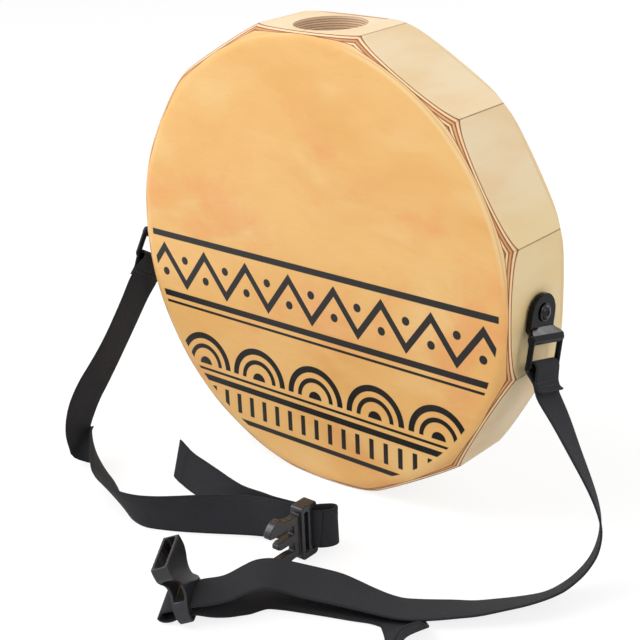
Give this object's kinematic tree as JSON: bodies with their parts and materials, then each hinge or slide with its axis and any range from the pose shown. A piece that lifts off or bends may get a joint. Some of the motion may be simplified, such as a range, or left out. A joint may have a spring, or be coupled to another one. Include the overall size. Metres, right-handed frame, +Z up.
{
  "type": "portable cajon",
  "caption": "Portable drum-shaped cajon with many staves, a wooden playing plate, a sound hole, inner snares, pivoting strap brackets and a webbing strap",
  "frame": {"origin": "on the floor under the middle of the drum, which stands on its lowest stave", "axes": "+Z up, the playing plate faces -Y, +X is the right strap bracket's side seen from the front"},
  "size_m": [0.4498, 0.2893, 0.35],
  "materials": {
    "pale_birch": "pale birch plywood under a thin satin lacquer",
    "honey_birch": "honey-coloured birch plywood under a satin lacquer",
    "rail_wood": "bare planed hardwood",
    "webbing": "black woven webbing",
    "black_plastic": "black moulded plastic",
    "black_steel": "black coated steel",
    "bright_steel": "bright zinc-plated steel"
  },
  "bodies": {
    "drum": {"stave_01": "pale_birch", "stave_02": "pale_birch", "stave_03": "pale_birch", "stave_04": "pale_birch", "stave_05": "pale_birch", "stave_06": "pale_birch", "stave_07": "pale_birch", "stave_08": "pale_birch", "stave_09": "pale_birch", "stave_10": "pale_birch", "stave_11": "pale_birch", "stave_12": "pale_birch", "front_plate": "honey_birch", "back_plate": "pale_birch", "snare_rail": "rail_wood", "snare_fan_left": "bright_steel", "snare_fan_right": "bright_steel", "snare_screw_1": "black_steel", "snare_screw_2": "black_steel", "snare_screw_3": "black_steel", "snare_screw_4": "black_steel", "bracket_screw_right": "black_steel", "bracket_nut_right": "bright_steel", "bracket_screw_left": "black_steel", "bracket_nut_left": "bright_steel", "strap_run_right": "webbing", "strap_tail_right": "webbing", "strap_run_left": "webbing", "strap_tail_left": "webbing", "buckle_plug": "black_plastic", "buckle_socket": "black_plastic"},
    "right_bracket": {"bracket_right": "black_plastic", "strap_loop_right": "webbing"},
    "left_bracket": {"bracket_left": "black_plastic", "strap_loop_left": "webbing"}
  },
  "joints": [
    {"name": "right_bracket_pivot", "type": "hinge", "parent": "drum", "child": "right_bracket", "pos_m": [0.1773, 0, 0.171], "axis": [1, 0, 0], "range_deg": [-31, 59]},
    {"name": "left_bracket_pivot", "type": "hinge", "parent": "drum", "child": "left_bracket", "pos_m": [-0.1773, 0, 0.171], "axis": [1, 0, 0], "range_deg": [-13, 77]}
  ]
}
